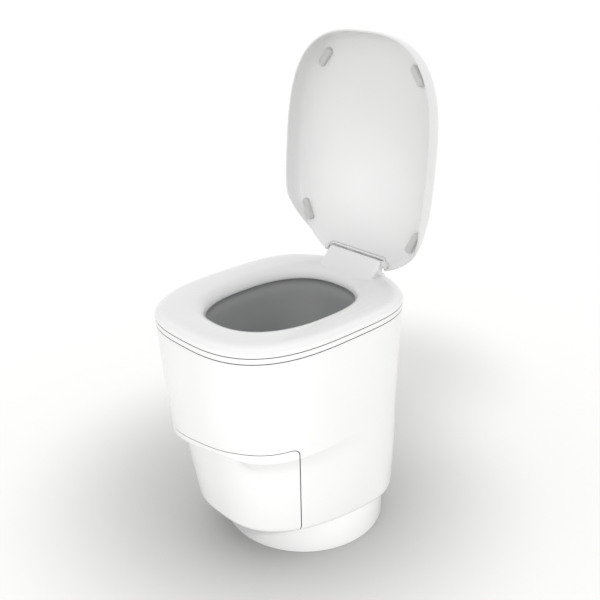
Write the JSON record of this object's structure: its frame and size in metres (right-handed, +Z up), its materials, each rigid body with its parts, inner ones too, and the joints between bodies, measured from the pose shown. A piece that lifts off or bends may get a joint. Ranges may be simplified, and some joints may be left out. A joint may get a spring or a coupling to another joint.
{
  "type": "cassette toilet",
  "caption": "Free-standing cassette toilet on a round swivel foot: hinged lid and seat, grey bowl over a blade valve, and a front drawer that carries the waste tank.",
  "frame": {"origin": "on the floor at the centre of the round foot, which is the swivel axis", "axes": "+Z up, front of the toilet towards -Y, rear and lid hinge towards +Y, +X to the right seen from the front"},
  "size_m": [0.382, 0.4935, 0.9934],
  "materials": {
    "white_gloss": "glossy white moulded ABS",
    "grey_bowl": "smooth mid grey polypropylene bowl",
    "pad_grey": "pale translucent grey elastomer",
    "tank_grey": "blow-moulded polyethylene, light grey",
    "dark_plastic": "dark grey glass-filled nylon",
    "rubber": "black rubber",
    "steel": "zinc-plated or stainless steel"
  },
  "bodies": {
    "pedestal": {"foot_shell": "white_gloss", "floor_plate": "dark_plastic", "floor_screw_1": "steel", "floor_screw_2": "steel", "floor_screw_3": "steel", "floor_screw_4": "steel", "glide_ring": "pad_grey"},
    "body": {"turntable_hub": "dark_plastic", "hub_nut": "dark_plastic", "body_shell": "white_gloss", "rear_cover": "white_gloss", "power_inlet": "rubber", "band_ring": "white_gloss", "seat_hinge_pin": "steel", "bowl": "grey_bowl", "valve_housing": "dark_plastic", "valve_seal": "rubber", "valve_motor": "steel", "button_bezel": "pad_grey", "button_switch": "dark_plastic", "runner_outer_left": "steel", "runner_outer_right": "steel", "magnet_catch": "dark_plastic"},
    "seat": {"seat_deck": "white_gloss", "seat_buffer_1": "rubber", "seat_buffer_2": "rubber", "seat_buffer_3": "rubber", "seat_buffer_4": "rubber"},
    "lid": {"lid_shell": "white_gloss", "lid_hinge_rod": "steel", "lid_bumper_1": "pad_grey", "lid_bumper_2": "pad_grey", "lid_bumper_3": "pad_grey", "lid_bumper_4": "pad_grey"},
    "blade": {"valve_blade": "steel", "valve_rack": "tank_grey"},
    "pinion": {"drive_pinion": "tank_grey"},
    "button": {"control_button": "white_gloss"},
    "drawer": {"drawer_front": "white_gloss", "drawer_tray": "tank_grey", "runner_inner_left": "steel", "runner_inner_right": "steel", "catch_plate": "steel", "cassette_tank": "tank_grey", "mouth_seal": "rubber"},
    "runner_middle": {"runner_middle_left": "steel", "runner_middle_right": "steel"},
    "handle": {"carry_handle": "dark_plastic"},
    "spout": {"pour_spout": "dark_plastic"},
    "cap": {"spout_cap": "pad_grey"},
    "vent": {"vent_button": "pad_grey"}
  },
  "joints": [
    {"name": "swivel", "type": "hinge", "parent": "pedestal", "child": "body", "pos_m": [0, 0, 0.0785], "axis": [0, 0, 1], "range_deg": [-90, 90]},
    {"name": "seat_hinge", "type": "hinge", "parent": "body", "child": "seat", "pos_m": [0, 0.19, 0.5], "axis": [1, 0, 0], "range_deg": [-80, 0]},
    {"name": "lid_hinge", "type": "hinge", "parent": "seat", "child": "lid", "pos_m": [0, 0.1508, 0.54355], "axis": [1, 0, 0], "range_deg": [0, 92.9]},
    {"name": "blade_slide", "type": "slide", "parent": "body", "child": "blade", "axis": [0, 1, 0], "range_m": [0, 0.112]},
    {"name": "pinion_spin", "type": "hinge", "parent": "body", "child": "pinion", "pos_m": [-0.074, 0.018, 0.286], "axis": [0, 0, 1], "range_deg": [0, 540]},
    {"name": "button_press", "type": "slide", "parent": "body", "child": "button", "axis": [1, 0, 0], "range_m": [0, 0.003], "stiffness_N_per_m": 600, "springref_m": -0.002},
    {"name": "drawer_slide", "type": "slide", "parent": "body", "child": "drawer", "axis": [0, -1, 0], "range_m": [0, 0.33]},
    {"name": "runner_middle_slide", "type": "slide", "parent": "body", "child": "runner_middle", "axis": [0, -1, 0], "range_m": [0, 0.165]},
    {"name": "handle_fold", "type": "hinge", "parent": "drawer", "child": "handle", "pos_m": [0, -0.176, 0.261], "axis": [1, 0, 0], "range_deg": [0, 88]},
    {"name": "spout_swing", "type": "hinge", "parent": "drawer", "child": "spout", "pos_m": [0.092, -0.15, 0.26], "axis": [1, 0, 0], "range_deg": [0, 80]},
    {"name": "cap_turn", "type": "hinge", "parent": "spout", "child": "cap", "pos_m": [0.092, -0.03, 0.258], "axis": [0, 1, 0], "range_deg": [0, 270]},
    {"name": "vent_press", "type": "slide", "parent": "drawer", "child": "vent", "axis": [0, 0, -1], "range_m": [0, 0.004], "stiffness_N_per_m": 400, "springref_m": -0.002}
  ],
  "couplings": [
    {"joint": "pinion_spin", "follows": "blade_slide", "rad_per_m": 83.333},
    {"joint": "runner_middle_slide", "follows": "drawer_slide", "ratio": 0.5}
  ]
}
